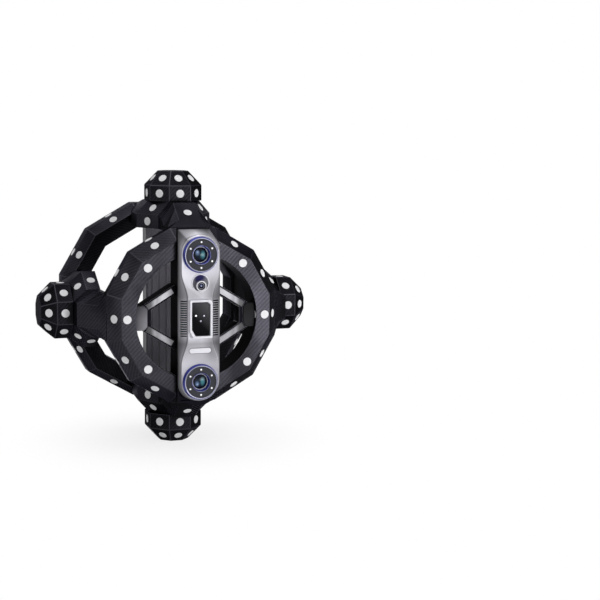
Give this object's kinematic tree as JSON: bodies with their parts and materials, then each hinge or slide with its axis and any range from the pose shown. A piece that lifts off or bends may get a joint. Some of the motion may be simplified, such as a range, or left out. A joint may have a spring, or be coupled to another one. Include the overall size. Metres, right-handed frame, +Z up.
{
  "type": "three-d scanner",
  "caption": "Handheld optical scanner: faceted marker cage with ring pair and knobs, upright camera bar with lit lenses and a window, braced bore, and a grip with battery door and buttons.",
  "frame": {"origin": "centre of the flat foot face under the bottom knob", "axes": "+Z up through the top knob, -Y out of the lenses towards the scanned thing, +X to the right when looking at the lenses"},
  "size_m": [0.34, 0.2303, 0.34],
  "materials": {
    "carbon": "dark woven carbon laminate, satin",
    "housing": "near-black moulded plastic",
    "silver": "satin silver paint",
    "bright_ring": "polished anodised aluminium",
    "lamp_face": "dark grey diffusing plastic",
    "lens": "coated lens glass, blue-green",
    "pane": "smoked glossy window",
    "pale_trim": "pale satin plastic",
    "grip_skin": "dark grey textured plastic",
    "battery_case": "black plastic cell case",
    "rubber": "black moulded rubber",
    "steel": "brushed steel",
    "board": "green circuit board"
  },
  "bodies": {
    "housing": {"front_ring": "carbon", "rear_ring": "carbon", "top_hub": "carbon", "right_hub": "carbon", "bottom_hub": "carbon", "left_hub": "carbon", "top_knob": "carbon", "right_knob": "carbon", "bottom_knob": "carbon", "left_knob": "carbon", "bar_rear_housing": "housing", "bar_fascia": "silver", "upper_bezel": "bright_ring", "lower_bezel": "bright_ring", "upper_light_ring": "lamp_face", "lower_light_ring": "lamp_face", "upper_lens_barrel": "bright_ring", "lower_lens_barrel": "bright_ring", "upper_lens_glass": "lens", "lower_lens_glass": "lens", "sensor_cup": "silver", "sensor_barrel": "pale_trim", "sensor_glass": "lens", "window_frame": "pale_trim", "window_pane": "pane", "indicator_strip": "pale_trim", "camera_board": "board", "projector_module": "housing", "left_brace": "housing", "right_brace": "housing", "left_brace_clamp": "grip_skin", "right_brace_clamp": "grip_skin", "left_upper_strip": "pale_trim", "left_lower_strip": "pale_trim", "right_upper_strip": "pale_trim", "right_lower_strip": "pale_trim", "grip_front_shell": "grip_skin", "grip_rear_shell": "grip_skin", "battery": "battery_case", "door_pin": "steel", "port_socket": "steel"},
    "door": {"battery_door": "grip_skin"},
    "scan_key": {"scan_button": "rubber"},
    "plus_key": {"plus_button": "rubber"},
    "minus_key": {"minus_button": "rubber"},
    "power_key": {"power_button": "rubber"},
    "flap": {"port_flap": "rubber"}
  },
  "joints": [
    {"name": "battery_door_hinge", "type": "hinge", "parent": "housing", "child": "door", "pos_m": [-0.0089, 0.1025, 0.148], "axis": [0, 0, 1], "range_deg": [0, 110]},
    {"name": "port_flap_hinge", "type": "hinge", "parent": "housing", "child": "flap", "pos_m": [0, 0.1029, 0.09], "axis": [-1, 0, 0], "range_deg": [0, 100]},
    {"name": "scan_button_press", "type": "slide", "parent": "housing", "child": "scan_key", "axis": [0, -1, 0], "range_m": [0, 0.0015], "stiffness_N_per_m": 600, "springref_m": -0.002},
    {"name": "plus_button_press", "type": "slide", "parent": "housing", "child": "plus_key", "axis": [0, -1, 0], "range_m": [0, 0.0015], "stiffness_N_per_m": 400, "springref_m": -0.002},
    {"name": "minus_button_press", "type": "slide", "parent": "housing", "child": "minus_key", "axis": [0, -1, 0], "range_m": [0, 0.0015], "stiffness_N_per_m": 400, "springref_m": -0.002},
    {"name": "power_button_press", "type": "slide", "parent": "housing", "child": "power_key", "axis": [0, -1, 0], "range_m": [0, 0.0015], "stiffness_N_per_m": 400, "springref_m": -0.002}
  ]
}
